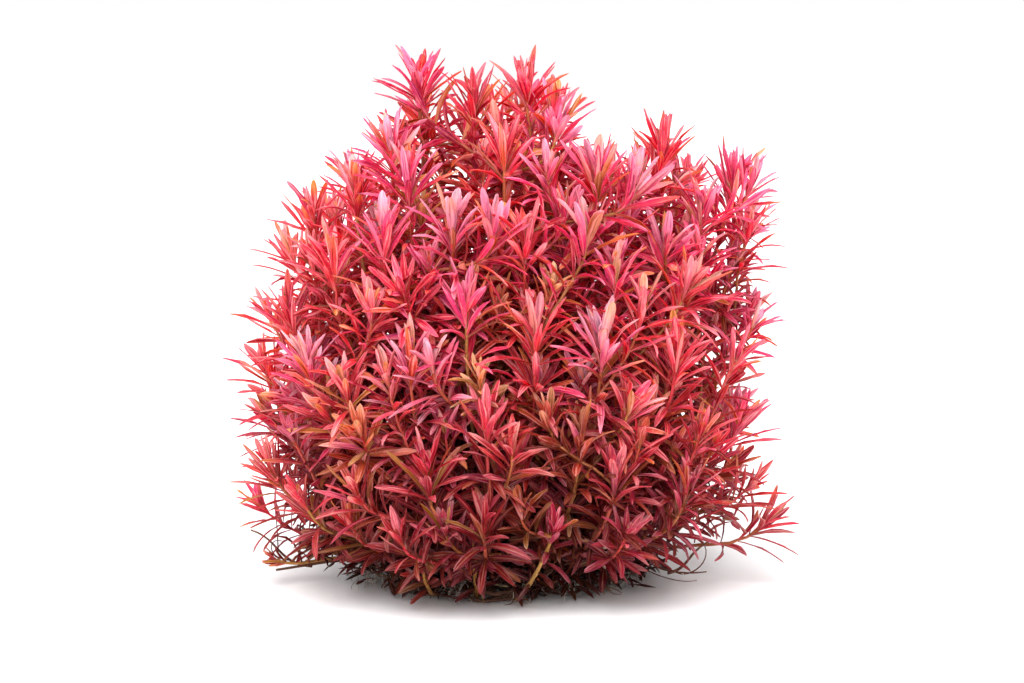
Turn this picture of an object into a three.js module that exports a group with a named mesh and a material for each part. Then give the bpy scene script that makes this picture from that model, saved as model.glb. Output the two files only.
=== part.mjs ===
// Dwarf rotala: a bush of leafy red stems that stands on its own mat of roots.
// Millimetres, +Z up, +X to the right and -Y towards the viewer.
// The origin is the middle of the root mat's flat underside.
import * as THREE from 'three';

// Driving dimensions of the bush: its crowns lie on a dome with these half sizes and this height
const domeHalfWidth = 76;
const domeHalfDepth = 68;
const domeHeight = 158;
const domeRoundness = 2.6;

// Root mat
const matHalfWidth = 50;
const matHalfDepth = 44;
const matHeight = 11;
const matEdgeHeight = 4.5;
const matSides = 18;
const matRings = [0.7, 0.36];
const matFootShare = 0.9;
const matEdgeLeast = 0.9;
const matEdgeMost = 1.06;
const matSlope = 0.3;
const matLump = 2.4;
const matSeed = 7;

// Stem: a slender twisted prism with three sides
const stemSides = 3;
const stemBaseRadius = 1.2;
const stemTipRadius = 0.85;
const stemClearRadius = 1.3;
const budLength = 4;
const plainStemBands = 2;

// Leaf whorls, from the tip of the stem down: how far below the tip, how long a leaf is and how far it
// opens from the stem, in degrees
const whorls = [
  { below: 0, leafLength: 13.5, opening: 14 },
  { below: 2, leafLength: 16, opening: 28 },
  { below: 4, leafLength: 16.5, opening: 42 },
  { below: 14, leafLength: 16.5, opening: 52 },
  { below: 26, leafLength: 16, opening: 60 },
  { below: 40, leafLength: 15.5, opening: 66 },
];
const whorlHeight = 2;
const leafWidth = 5.2;
const leafWidestAt = 0.45;
const leafArch = 1.4;
const leafDroop = 1.2;
const leafRootReach = 0.6;
const leafRootRadius = 1.2;
const leafTipRadius = 0.5;
const leafKeel = 1;
const leafShares = [1, 0.85, 0.7, 0.55];
const whorlTurns = [0, 0.3, -0.3];

// Shoots: angles above the horizontal at the foot and at the crown, from the lowest shoot to the tallest,
// and how far out on the mat their feet stand
const lowestStart = 12;
const highestStart = 86;
const lowestLean = 34;
const highestLean = 88;
const frontLift = 34;
const creepingLean = 14;
const creepingHeight = 8;
const bendShare = 0.36;
const mostSpread = 0.97;
const leastSpread = 0.3;
const footInward = 0.85;
const barestStem = 18;
const shootSeed = 20261;

// Room that a piece keeps clear, tested with balls along stems and leaves
const gap = 0.3;
const floorClearance = 0.4;
const ballStep = 1.2;
const stemBallsAtFoot = 3;
const footSwingStep = 0.05;
const footSwingTries = 60;

// Crown places of the front, top and side shoots: right, back and up from the origin
const frontCrowns = [
  [-27, -10, 152], [6, -5, 150], [-10, -28, 147], [-35, -24, 134], [14, -28, 141], [47, -18, 133],
  [69, -6, 121], [-58, -26, 112], [-45, -36, 121], [-29, -46, 124], [-1, -44, 132], [26, -47, 124],
  [58, -27, 114], [73, 8, 107], [-51, -44, 100], [-36, -52, 107], [-16, -55, 110], [5, -57, 107],
  [31, -56, 98], [-65, -32, 84], [-12, -61, 88], [8, -63, 81], [49, -53, 73], [73, -2, 80],
  [27, -62, 77], [-73, -14, 65], [-58, -46, 70], [-28, -62, 73], [-6, -66, 54], [21, -65, 52],
  [69, -30, 51], [-70, -33, 37], [-23, -65, 41], [31, -63, 39], [52, -54, 34], [77, -12, 19],
  [-7, -66, 27], [-68, -14, 7],
];

// Rows of crowns over the back of the dome: their height, how many there are, and the angles of the
// first and the last, from the right round to the left
const backRows = [
  { height: 139, count: 2, from: 72, to: 122 },
  { height: 122, count: 4, from: 24, to: 144 },
  { height: 98, count: 4, from: 38, to: 164 },
  { height: 72, count: 4, from: 20, to: 148 },
  { height: 46, count: 4, from: 34, to: 166 },
  { height: 22, count: 3, from: 52, to: 134 },
];
const backJitter = 4;

const leafRed = 0xc4364c;
const leafCoral = 0xd4604f;
const leafPink = 0xe0587f;
const rootBrown = 0x4a3026;

const up = new THREE.Vector3(0, 0, 1);
const { clamp, degToRad, lerp } = THREE.MathUtils;

// A repeatable stream of numbers from 0 to 1
function seededStream(seed) {
  let state = seed;
  return () => {
    state = (state + 0x6d2b79f5) | 0;
    let mixed = Math.imul(state ^ (state >>> 15), 1 | state);
    mixed = (mixed + Math.imul(mixed ^ (mixed >>> 7), 61 | mixed)) ^ mixed;
    return ((mixed ^ (mixed >>> 14)) >>> 0) / 4294967296;
  };
}

// Space that is already taken, as balls sorted into cubic cells
const cellSize = 5;
const cells = new Map();

function nearbyKeys(place) {
  const [x, y, z] = place.toArray().map((value) => Math.floor(value / cellSize));
  const keys = [];
  for (const i of [-1, 0, 1]) {
    for (const j of [-1, 0, 1]) {
      for (const k of [-1, 0, 1]) keys.push(`${x + i},${y + j},${z + k}`);
    }
  }
  return keys;
}

function takeSpace(balls, owner) {
  for (const ball of balls) {
    const key = ball.centre.toArray().map((value) => Math.floor(value / cellSize)).join();
    if (!cells.has(key)) cells.set(key, []);
    cells.get(key).push({ ...ball, owner });
  }
}

function isFree(balls, owner) {
  return balls.every((ball) => nearbyKeys(ball.centre).every((key) => (cells.get(key) ?? []).every(
    (other) => other.owner === owner
      || other.centre.distanceTo(ball.centre) > other.radius + ball.radius + gap,
  )));
}

function ballsAlong(start, end, startRadius, endRadius) {
  const count = Math.ceil(start.distanceTo(end) / ballStep);
  const balls = [];
  for (let i = 0; i <= count; i += 1) {
    const share = i / count;
    balls.push({
      centre: start.clone().lerp(end, share),
      radius: lerp(startRadius, endRadius, share),
    });
  }
  return balls;
}

// Root mat: a low lumpy pad with a knobbly edge and a flat underside
function rootMatGeometry() {
  const random = seededStream(matSeed);
  const edge = Array.from({ length: matSides }, () => lerp(matEdgeLeast, matEdgeMost, random()));
  const positions = [0, 0, 0, 0, 0, matHeight];
  const faces = [];
  const firstOfRing = [];
  const addRing = (share, heightOf) => {
    firstOfRing.push(positions.length / 3);
    for (let side = 0; side < matSides; side += 1) {
      const angle = (side / matSides) * Math.PI * 2;
      const reach = edge[side] * share;
      const right = matHalfWidth * reach * Math.cos(angle);
      const back = matHalfDepth * reach * Math.sin(angle);
      positions.push(right, back, heightOf());
    }
  };
  addRing(matFootShare, () => 0);
  addRing(1, () => matEdgeHeight);
  for (const share of matRings) {
    addRing(share, () => matHeight * (1 - matSlope * share * share) - matLump * random());
  }
  const last = firstOfRing[firstOfRing.length - 1];
  for (let side = 0; side < matSides; side += 1) {
    const next = (side + 1) % matSides;
    faces.push(0, firstOfRing[0] + next, firstOfRing[0] + side);
    for (let ring = 0; ring + 1 < firstOfRing.length; ring += 1) {
      const lower = firstOfRing[ring];
      const upper = firstOfRing[ring + 1];
      faces.push(lower + side, lower + next, upper + next);
      faces.push(lower + side, upper + next, upper + side);
    }
    faces.push(last + side, last + next, 1);
  }
  return closedGeometry(positions, faces);
}

function closedGeometry(positions, faces) {
  const geometry = new THREE.BufferGeometry();
  geometry.setAttribute('position', new THREE.Float32BufferAttribute(positions, 3));
  geometry.setIndex(faces);
  geometry.computeVertexNormals();
  return geometry;
}

// Height of the mat's top under a stem, where the mat slopes down towards its edge
const matTopCast = new THREE.Raycaster();
function matTopBelow(mat, x, y) {
  matTopCast.set(new THREE.Vector3(x, y, 3 * matHeight), up.clone().negate());
  const hit = matTopCast.intersectObject(mat)[0];
  return hit ? hit.point.z : 0;
}

function stemFoot(mat, x, y, start) {
  const reach = stemBaseRadius + gap;
  const spots = [[0, 0], [reach, 0], [-reach, 0], [0, reach], [0, -reach]];
  const top = Math.max(...spots.map(([right, back]) => matTopBelow(mat, x + right, y + back)));
  return new THREE.Vector3(x, y, top + stemBaseRadius * Math.cos(start) + gap);
}

// The line of a stem: it leaves the mat outwards, and bends up towards the light
function stemCurve(mat, crown, swing) {
  const outward = new THREE.Vector3(crown.x, crown.y, 0).normalize();
  outward.applyAxisAngle(up, swing);
  const rise = clamp(crown.z / domeHeight, 0, 1);
  const farthest = (footInward * Math.hypot(crown.x, crown.y)) / matHalfDepth;
  const spread = Math.min(lerp(mostSpread, leastSpread, rise), farthest);
  const start = degToRad(lerp(lowestStart, highestStart, rise ** 0.5));
  const foot = stemFoot(mat, outward.x * matHalfWidth * spread, outward.y * matHalfDepth * spread, start);
  const towards = new THREE.Vector3(crown.x - foot.x, crown.y - foot.y, 0).normalize();
  const lift = frontLift * clamp(-crown.y / domeHalfDepth, 0, 1);
  const usualLean = Math.min(lerp(lowestLean, highestLean, rise) + lift, highestLean);
  const lean = degToRad(crown.z < creepingHeight ? creepingLean : usualLean);
  const reach = foot.distanceTo(crown) * bendShare;
  const leave = towards.clone().multiplyScalar(Math.cos(start)).addScaledVector(up, Math.sin(start));
  const arrive = towards.clone().multiplyScalar(Math.cos(lean)).addScaledVector(up, Math.sin(lean));
  const curve = new THREE.CubicBezierCurve3(
    foot,
    foot.clone().addScaledVector(leave, reach),
    crown.clone().addScaledVector(arrive, -reach),
    crown,
  );
  return { curve, side: up.clone().cross(towards).normalize() };
}

// Whether balls stay clear of the mat's top and of the surface that the bush stands on
function isAboveMat(mat, balls) {
  return balls.every((ball) => {
    const lowest = ball.centre.z - ball.radius;
    if (lowest > matHeight) return true;
    return lowest > matTopBelow(mat, ball.centre.x, ball.centre.y);
  });
}

function stemBalls(curve) {
  const count = Math.ceil(curve.getLength() / ballStep);
  return curve.getSpacedPoints(count).map((centre) => ({ centre, radius: stemClearRadius }));
}

// A stem that would run into an earlier one leaves the mat a little to the side
function findStem(mat, crown, owner) {
  for (let attempt = 0; attempt < footSwingTries; attempt += 1) {
    const swing = Math.ceil(attempt / 2) * footSwingStep * (attempt % 2 ? 1 : -1);
    const stem = stemCurve(mat, crown, swing);
    const balls = stemBalls(stem.curve);
    if (isAboveMat(mat, balls.slice(stemBallsAtFoot)) && isFree(balls, owner)) {
      takeSpace(balls, owner);
      return stem;
    }
  }
  throw new Error(`no clear way for ${owner}`);
}

// The bands of a stem from its foot up: how far along the stem each one ends, and any whorl it carries
function bandPlan(length) {
  const grown = whorls.filter((whorl) => whorl.below + whorlHeight + barestStem < length);
  const bare = length - grown[grown.length - 1].below - whorlHeight;
  const bands = Array.from({ length: plainStemBands }, (_, band) => ({
    to: (bare * (band + 1)) / plainStemBands,
  }));
  let reached = bare;
  for (const whorl of [...grown].reverse()) {
    const foot = length - whorl.below - whorlHeight;
    if (foot > reached + gap) bands.push({ to: foot });
    bands.push({ to: foot + whorlHeight, whorl });
    reached = foot + whorlHeight;
  }
  return bands;
}

// The direction and the place of the stem at a length along it
function stemFrame(stem, length, along) {
  const share = clamp(along / length, 0, 1);
  const centre = stem.curve.getPointAt(share);
  const forward = stem.curve.getTangentAt(share);
  return { centre, forward, side: stem.side, across: forward.clone().cross(stem.side) };
}

function around(frame, angle) {
  return frame.side.clone().multiplyScalar(Math.cos(angle)).addScaledVector(frame.across, Math.sin(angle));
}

// A lance leaf from the stem: its widest pair of points and its tip
function leafPoints(frame, angle, whorl, share, radius) {
  const opening = degToRad(whorl.opening);
  const outward = around(frame, angle);
  const sideways = around(frame, angle + Math.PI / 2);
  const along = outward.clone().multiplyScalar(Math.sin(opening))
    .addScaledVector(frame.forward, Math.cos(opening));
  const length = whorl.leafLength * share;
  const base = frame.centre.clone().addScaledVector(outward, radius * leafRootReach);
  const middle = base.clone().addScaledVector(along, length * leafWidestAt)
    .addScaledVector(frame.forward, leafArch * share);
  const half = (leafWidth / 2) * lerp(0.4, 1, share);
  return {
    base,
    middle,
    left: middle.clone().addScaledVector(sideways, -half),
    right: middle.clone().addScaledVector(sideways, half),
    tip: base.clone().addScaledVector(along, length)
      .addScaledVector(up, -leafDroop * Math.sin(opening) * share),
    half,
  };
}

function leafBalls(leaf) {
  return [
    ...ballsAlong(leaf.base, leaf.middle, leafRootRadius, leaf.half).slice(1),
    ...ballsAlong(leaf.middle, leaf.tip, leaf.half, leafTipRadius),
  ];
}

function leafFits(leaf, owner, mat) {
  const balls = leafBalls(leaf);
  const lowest = Math.min(leaf.left.z, leaf.right.z, leaf.tip.z, leaf.middle.z - leafKeel);
  return lowest > floorClearance && isAboveMat(mat, balls) && isFree(balls, owner) ? balls : null;
}

// The longest leaf that has room, or none
function growLeaf(frame, angle, whorl, radius, owner, mat) {
  for (const share of leafShares) {
    const leaf = leafPoints(frame, angle, whorl, share, radius);
    const balls = leafFits(leaf, owner, mat);
    if (balls) return { leaf, balls, share };
  }
  return null;
}

// The turn of a whorl that gives its leaves the most room
function growWhorl(frame, ringAngle, whorl, radius, owner, mat) {
  let best = { room: -1 };
  for (const turn of whorlTurns) {
    const grown = Array.from({ length: stemSides }, (_, side) => growLeaf(
      frame, ringAngle + turn + (side * 2 * Math.PI) / stemSides, whorl, radius, owner, mat));
    const room = grown.reduce((sum, leaf) => sum + (leaf ? leaf.share : 0), 0);
    if (room > best.room) best = { room, grown };
  }
  for (const leaf of best.grown) {
    if (leaf) takeSpace(leaf.balls, owner);
  }
  return best.grown;
}

// One closed skin: rings turned half a side from one to the next, a leaf drawn out of a face
// where one grows, and a bud at the tip
function shootGeometry(stem, owner, phase, mat) {
  const length = stem.curve.getLength();
  const bands = bandPlan(length);
  const step = (2 * Math.PI) / stemSides;
  const origin = stem.curve.getPointAt(0);
  const positions = [];
  const faces = [];
  const addPoint = (point) => {
    positions.push(point.x - origin.x, point.y - origin.y, point.z - origin.z);
    return positions.length / 3 - 1;
  };
  const addRing = (along, angle) => {
    const frame = stemFrame(stem, length, along);
    const radius = lerp(stemBaseRadius, stemTipRadius, along / length);
    return Array.from({ length: stemSides }, (_, side) => addPoint(
      frame.centre.clone().addScaledVector(around(frame, angle + side * step), radius)));
  };
  let angle = phase;
  let lower = addRing(0, angle);
  faces.push(lower[0], lower[2], lower[1]);
  for (const band of bands) {
    const frame = stemFrame(stem, length, band.to);
    const radius = lerp(stemBaseRadius, stemTipRadius, band.to / length);
    const grown = band.whorl ? growWhorl(frame, angle + step, band.whorl, radius, owner, mat) : null;
    const upper = addRing(band.to, angle + step / 2);
    for (let side = 0; side < stemSides; side += 1) {
      const next = (side + 1) % stemSides;
      faces.push(lower[side], lower[next], upper[side]);
      const leaf = grown?.[side]?.leaf;
      if (!leaf) {
        faces.push(upper[side], lower[next], upper[next]);
        continue;
      }
      const left = addPoint(leaf.left);
      const right = addPoint(leaf.right);
      const tip = addPoint(leaf.tip);
      faces.push(upper[side], left, right, upper[side], right, upper[next], left, tip, right);
      faces.push(upper[side], lower[next], left, left, lower[next], tip);
      faces.push(tip, lower[next], right, right, lower[next], upper[next]);
    }
    lower = upper;
    angle += step / 2;
  }
  const end = stemFrame(stem, length, length);
  const bud = addPoint(end.centre.clone().addScaledVector(end.forward, budLength));
  for (let side = 0; side < stemSides; side += 1) {
    faces.push(lower[side], lower[(side + 1) % stemSides], bud);
  }
  return closedGeometry(positions, faces);
}

// Places of the crowns at the back, row by row over the dome
function backCrowns(random) {
  return backRows.flatMap((row) => Array.from({ length: row.count }, (_, index) => {
    const shrink = (1 - (row.height / domeHeight) ** domeRoundness) ** (1 / domeRoundness);
    const angle = degToRad(lerp(row.from, row.to, index / (row.count - 1)));
    const jitter = () => (random() - 0.5) * 2 * backJitter;
    return [
      domeHalfWidth * shrink * Math.cos(angle) + jitter(),
      domeHalfDepth * shrink * Math.sin(angle) + jitter(),
      row.height + jitter(),
    ];
  }));
}

function leafColour(random) {
  const base = new THREE.Color(leafRed);
  return base.lerp(new THREE.Color(random() < 0.5 ? leafCoral : leafPink), random() * 0.8);
}

function buildBush() {
  const bush = new THREE.Group();
  const mat = new THREE.Mesh(rootMatGeometry(), new THREE.MeshStandardMaterial({
    color: rootBrown, roughness: 0.9, metalness: 0,
  }));
  mat.name = 'root_mat';
  bush.add(mat);

  const random = seededStream(shootSeed);
  const named = (places, word) => places.map((place, index) => ({
    name: `shoot_${word}_${String(index + 1).padStart(2, '0')}`,
    crown: new THREE.Vector3(...place),
  }));
  const shoots = [...named(frontCrowns, 'front'), ...named(backCrowns(random), 'back')];
  for (const shoot of shoots) shoot.stem = findStem(mat, shoot.crown, shoot.name);
  for (const shoot of shoots) {
    const phase = random() * 2 * Math.PI;
    const mesh = new THREE.Mesh(
      shootGeometry(shoot.stem, shoot.name, phase, mat),
      new THREE.MeshStandardMaterial({ color: leafColour(random), roughness: 0.45, metalness: 0 }),
    );
    mesh.name = shoot.name;
    mesh.position.copy(shoot.stem.curve.getPointAt(0));
    bush.add(mesh);
  }
  return bush;
}

export default buildBush();
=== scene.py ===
from math import asin, atan2, ceil, cos, hypot, pi, radians, sin, sqrt

import bpy
import numpy as np
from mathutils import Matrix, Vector
from numpy.linalg import norm


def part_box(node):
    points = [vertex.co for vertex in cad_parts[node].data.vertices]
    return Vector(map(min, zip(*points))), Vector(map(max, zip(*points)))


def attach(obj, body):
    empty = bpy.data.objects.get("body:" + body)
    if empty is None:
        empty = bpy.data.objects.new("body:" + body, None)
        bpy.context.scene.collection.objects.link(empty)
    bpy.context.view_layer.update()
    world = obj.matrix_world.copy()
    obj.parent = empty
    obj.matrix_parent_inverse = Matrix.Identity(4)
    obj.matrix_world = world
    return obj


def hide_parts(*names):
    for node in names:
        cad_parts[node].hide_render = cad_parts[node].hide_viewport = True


# Dwarf rotala: a bush of leafy red stems on its own roots, standing on a white surface.
# Everything is worked out in millimetres and turned into metres when a mesh is made.
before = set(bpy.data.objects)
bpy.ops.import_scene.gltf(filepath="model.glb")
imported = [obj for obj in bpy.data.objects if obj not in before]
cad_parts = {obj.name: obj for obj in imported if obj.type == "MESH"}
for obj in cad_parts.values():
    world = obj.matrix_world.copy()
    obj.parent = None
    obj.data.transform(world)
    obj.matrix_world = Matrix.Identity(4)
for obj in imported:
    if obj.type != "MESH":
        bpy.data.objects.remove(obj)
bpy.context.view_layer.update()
MM = 0.001
UP = np.array([0.0, 0.0, 1.0])

# The photograph and the camera that stands in for its lens
PHOTO_WIDE, PHOTO_HIGH = 1024, 683
PIXELS_PER_MM = 3.2
ORIGIN_PIXEL = (508, 578)
CAMERA_DISTANCE = 780.0
CAMERA_LIFT = radians(6.3)
SENSOR = 36.0
# Where a ray from the camera is searched for the dome, before and behind the origin
SEARCH_BEFORE, SEARCH_BEHIND, SEARCH_STEPS = 110, 20, 400

# The dome that the crowns lie on
DOME = np.array([76.0, 68.0, 158.0])
DOME_ROUNDNESS = 2.6

# A leaf: how wide its blade is at its stations from base to tip, with a pointed or a blunt tip. Those of the
# crowns have the fine form. Round one station its points go over the upper face from margin to margin and
# back below: how far across each one is, and which is below.
LEAF_WIDTH = 2.2
LEAF_THICKNESS = 0.3
RING = np.array([-1.0, 0.0, 1.0, 0.0])
BELOW = np.array([0, 0, 0, 1])
FINE = {
    "stations": np.array([0.0, 0.13, 0.30, 0.48, 0.66, 0.83, 0.945, 1.0]),
    "pointed": np.array([0.30, 0.56, 0.86, 1.0, 0.90, 0.58, 0.24, 0.0]),
    "blunt": np.array([0.28, 0.48, 0.76, 0.95, 1.0, 0.88, 0.55, 0.0]),
}
PLAIN = {
    "stations": np.array([0.0, 0.25, 0.58, 0.86, 1.0]),
    "pointed": np.array([0.34, 0.80, 1.0, 0.48, 0.0]),
    "blunt": np.array([0.32, 0.72, 1.0, 0.76, 0.0]),
}

# Whorls of a shoot from its tip down: how far below, leaf length, opening in degrees, number of leaves.
# Shoots whose tips are above a line of the photograph, or in its thin places, have a leaf less in each.
CROWN_WHORLS = [
    (0.0, 11.5, 17, 3), (1.8, 14.0, 28, 3), (3.8, 15.5, 37, 3), (6.2, 16.0, 44, 3), (9.2, 16.0, 49, 4),
    (12.8, 15.0, 53, 4), (16.8, 14.0, 56, 4), (21.2, 13.0, 58, 4), (26.0, 12.0, 60, 4), (31.2, 11.5, 62, 4),
    (36.8, 11.0, 64, 4),
]
INNER_WHORLS = [
    (0.0, 10.0, 14, 3), (2.4, 12.0, 28, 4), (5.4, 13.0, 40, 4), (9.2, 12.5, 49, 4), (13.6, 12.0, 56, 4),
    (18.6, 11.5, 61, 4), (24.2, 11.0, 66, 4), (30.4, 10.5, 70, 4),
]
# Whorls that a main stem has besides those of its solid
STEM_WHORLS = [
    (1.0, 13.0, 21, 3), (3.0, 15.0, 35, 3), (6.8, 16.0, 42, 4), (10.0, 16.0, 46, 4), (17.2, 15.0, 52, 4),
    (21.2, 14.5, 55, 4), (29.6, 13.5, 60, 4), (34.4, 13.0, 62, 4), (44.0, 12.0, 65, 4), (49.5, 11.5, 67, 4),
    (56.0, 11.0, 70, 4), (63.5, 11.0, 72, 4), (72.0, 10.5, 74, 3), (82.0, 10.0, 76, 3), (94.0, 10.0, 78, 3),
    (108.0, 9.5, 80, 3),
]
# Whorls of a shoot with few leaves
LOOSE_WHORLS = [
    (0.0, 12.0, 13, 3), (2.0, 14.0, 22, 3), (4.6, 15.0, 32, 4), (8.4, 14.5, 42, 3), (13.4, 13.0, 54, 3),
    (19.6, 11.5, 70, 2), (27.0, 10.0, 80, 2),
]
AIRY_ABOVE = 160
BIG_CROWN = 1.05

# The short leaves in the middle of a crown
YOUNG_LEAVES = 4
YOUNG_SIZE = 0.85
GOLDEN_TURN = 2.399963

# A leaf has age 0 at the tip and 1 this far below it. From some age on it has the plain form. None hangs
# down more steeply than the least rise, and one that would go through the floor lies on it. Below the low
# height leaves are older and browner, and painted shade makes them darker.
OLD_FROM_TIP = 62.0
PLAIN_FROM_AGE = 0.6
LEAST_RISE = -0.12
LYING_HEIGHT, LYING_CURL = 1.2, 0.06
LOW_HEIGHT = 75.0

# How a leaf looks: its waves along the margins, how far up it the colours of its root and its tip go, how
# much paler it is below, how much painted shade darkens it inside the bush and near the floor, and how much
# narrower at the sides of the bush
WAVES, WAVE_HEIGHT = 2.2, 0.16
ROOT_COLOUR_END = 0.38
TIP_COLOUR_START, TIP_COLOUR_RANGE = 0.4, 0.45
PALER_BELOW = 0.12
PAINTED_SHADE_INSIDE, PAINTED_SHADE_LOW = 0.3, 0.50
NARROWER_BESIDE = 0.24

# A stem: its size and its knots, how much of its thickness it has at the tip and gains on the way down, and
# how far below the crown it turns brown
STEM_RADIUS = 0.62
TIP_THICKNESS, GAINED_THICKNESS, FULL_THICKNESS_BELOW = 0.75, 0.35, 90
STEM_SIDES = 6
STEM_STEP = 2.6
STEM_UNEVENNESS = 0.12
KNOT_SIZE, STEPS_TO_KNOT = 0.14, 3
BROWN_BELOW, MOST_BROWN = 75, 0.92
CURVE_REACH = 0.36
NEARLY_UPRIGHT = 0.95
FLOOR_GAP = 0.25

# How a solid is read: how alike the edges at a bud are, how much its foot and its bud count for the line of
# its stem, and the points that the line is given
BUD_EVENNESS = 1.3
FOOT_WEIGHT, BUD_WEIGHT = 6.0, 2.0
STEM_POINTS = 40

# Colours as a screen shows them: a shoot's young leaves, its grown leaves and the old ones below
TONES = {
    "pink": ((1.00, 0.76, 0.86), (1.00, 0.24, 0.52), (0.88, 0.06, 0.25)),
    "coral": ((1.00, 0.74, 0.76), (1.00, 0.26, 0.40), (0.86, 0.09, 0.18)),
    "crimson": ((1.00, 0.58, 0.66), (0.97, 0.12, 0.31), (0.74, 0.04, 0.14)),
    "lilac": ((1.00, 0.88, 0.94), (1.00, 0.46, 0.66), (0.88, 0.12, 0.31)),
    "magenta": ((1.00, 0.64, 0.79), (0.96, 0.13, 0.41), (0.74, 0.05, 0.23)),
    "orange": ((1.00, 0.80, 0.64), (1.00, 0.42, 0.34), (0.86, 0.18, 0.14)),
    "rust": ((0.97, 0.72, 0.58), (0.88, 0.25, 0.22), (0.60, 0.10, 0.10)),
    "plum": ((0.93, 0.54, 0.66), (0.76, 0.11, 0.29), (0.52, 0.05, 0.14)),
    "gold": ((0.98, 0.88, 0.70), (0.93, 0.58, 0.36), (0.72, 0.27, 0.16)),
}
OLD_TONES = ["rust", "plum", "crimson"]
CREAM = np.array([1.00, 0.88, 0.76])
GOLD = np.array([0.96, 0.68, 0.36])
OLIVE = np.array([0.72, 0.50, 0.22])
BROWN = np.array([0.32, 0.13, 0.09])
TAN = np.array([0.84, 0.70, 0.50])

# Crowns that the photograph shows from the front: their place in pixels, their tone and their size
PHOTO_CROWNS = dict(
    tall_left=(421, 95, "magenta", 1.0), tall_middle=(473, 112, "crimson", 0.9),
    tall_right=(527, 101, "crimson", 1.0), left_of_tall=(392, 156, "pink", 1.0),
    upper_left=(357, 206, "coral", 0.95), far_upper_left=(314, 232, "coral", 0.95),
    left_shelf=(385, 256, "pink", 1.1), middle_shelf=(407, 196, "pink", 1.1),
    bright_shelf=(453, 248, "lilac", 1.1), right_of_bright_shelf=(494, 254, "pink", 1.1),
    shelf_back_left=(430, 222, "pink", 1.1), shelf_back_middle=(474, 212, "pink", 1.1),
    shelf_back_right=(520, 218, "coral", 0.95), shelf_end=(566, 218, "pink", 0.95),
    small_under_shelf=(430, 268, "magenta", 0.8), below_tall_right=(503, 170, "coral", 0.95),
    yellow_leaf=(556, 136, "pink", 0.95), upper_middle=(547, 175, "pink", 0.9),
    pink_right=(597, 197, "pink", 1.1), pink_far_right=(628, 205, "pink", 1.1),
    behind_pink_right=(607, 174, "pink", 0.95), behind_shelf_end=(585, 170, "coral", 0.9),
    dark_top_right=(663, 158, "crimson", 0.95), big_right=(732, 195, "magenta", 1.1),
    big_right_tip=(751, 188, "pink", 0.95), right_shelf=(700, 225, "pink", 1.0),
    far_right=(749, 234, "crimson", 0.95), dark_right=(730, 269, "plum", 0.9),
    middle=(523, 258, "coral", 1.0), middle_right=(584, 249, "pink", 1.1),
    small_gold=(553, 285, "gold", 0.6), right_of_middle=(614, 288, "pink", 1.0),
    lower_right_of_middle=(640, 314, "coral", 1.0), right=(682, 299, "coral", 1.05),
    right_edge=(752, 328, "pink", 0.85), left_slope=(338, 277, "coral", 1.0),
    left_edge=(294, 325, "coral", 1.0), left_face=(405, 299, "crimson", 1.0),
    left_face_low=(373, 317, "coral", 1.0), bright_face=(466, 325, "pink", 1.1),
    centre=(534, 350, "coral", 1.2), lilac_face=(601, 363, "lilac", 1.15),
    small_pale=(479, 376, "gold", 0.6), pink_left_face=(434, 371, "lilac", 1.0),
    below_left_face=(388, 382, "coral", 0.95), lilac_left=(311, 378, "lilac", 0.9),
    left_low_edge=(264, 380, "coral", 1.0), left_low=(348, 395, "coral", 1.0),
    pale_centre=(412, 447, "rust", 0.95), low_left=(364, 439, "orange", 1.0),
    purple_left=(294, 441, "plum", 0.9), low_middle=(486, 445, "crimson", 1.0),
    low_middle_right=(512, 458, "coral", 1.0), brown_middle=(549, 421, "rust", 0.9),
    right_low=(582, 452, "rust", 0.95), right_face=(627, 415, "coral", 1.0),
    right_face_edge=(675, 374, "coral", 1.0), right_edge_low=(732, 365, "crimson", 1.0),
    right_low_face=(639, 448, "crimson", 0.95), right_low_edge=(737, 434, "pink", 1.0),
    right_lower_face=(695, 441, "crimson", 1.0), far_low_right=(747, 489, "coral", 0.95),
    magenta_low=(427, 489, "crimson", 1.05), low_left_face=(361, 496, "coral", 1.0),
    far_low_left=(274, 484, "coral", 1.0), lowest_left=(262, 506, "pink", 0.85),
    left_ledge=(270, 318, "coral", 0.9), low_left_edge=(305, 506, "crimson", 0.95),
    low_front_left=(401, 541, "crimson", 0.9), bright_low_right=(615, 493, "crimson", 1.05),
    low_right=(684, 504, "pink", 1.0),
)
# How close to a shoot's tip such a crown is left out, and how far a big one stands out of the dome
CROWN_REACH = 8.0
CROWN_STEP = 35.0
# How far below its tip a crown's heart is, within how many pixels a shoot has the tone and the size of a
# photographed crown or just its tone, and how far back that holds
HEART_BELOW_TIP = 6.5
SAME_CROWN, CROWN_NEARBY = 16, 36
SEEN_BEFORE = 25

# The line round the photographed bush that no crown's heart lies beyond, in pixels
HEART_LIMIT = [
    (421, 95), (475, 116), (527, 103), (556, 134), (600, 168), (664, 158), (695, 190), (735, 195),
    (748, 234), (738, 290), (754, 325), (736, 370), (742, 434), (735, 488), (700, 515), (660, 535),
    (600, 540), (440, 545), (380, 540), (320, 520), (272, 490), (274, 440), (264, 380), (292, 325),
    (306, 280), (316, 234), (357, 208), (370, 172), (392, 156),
]

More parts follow.
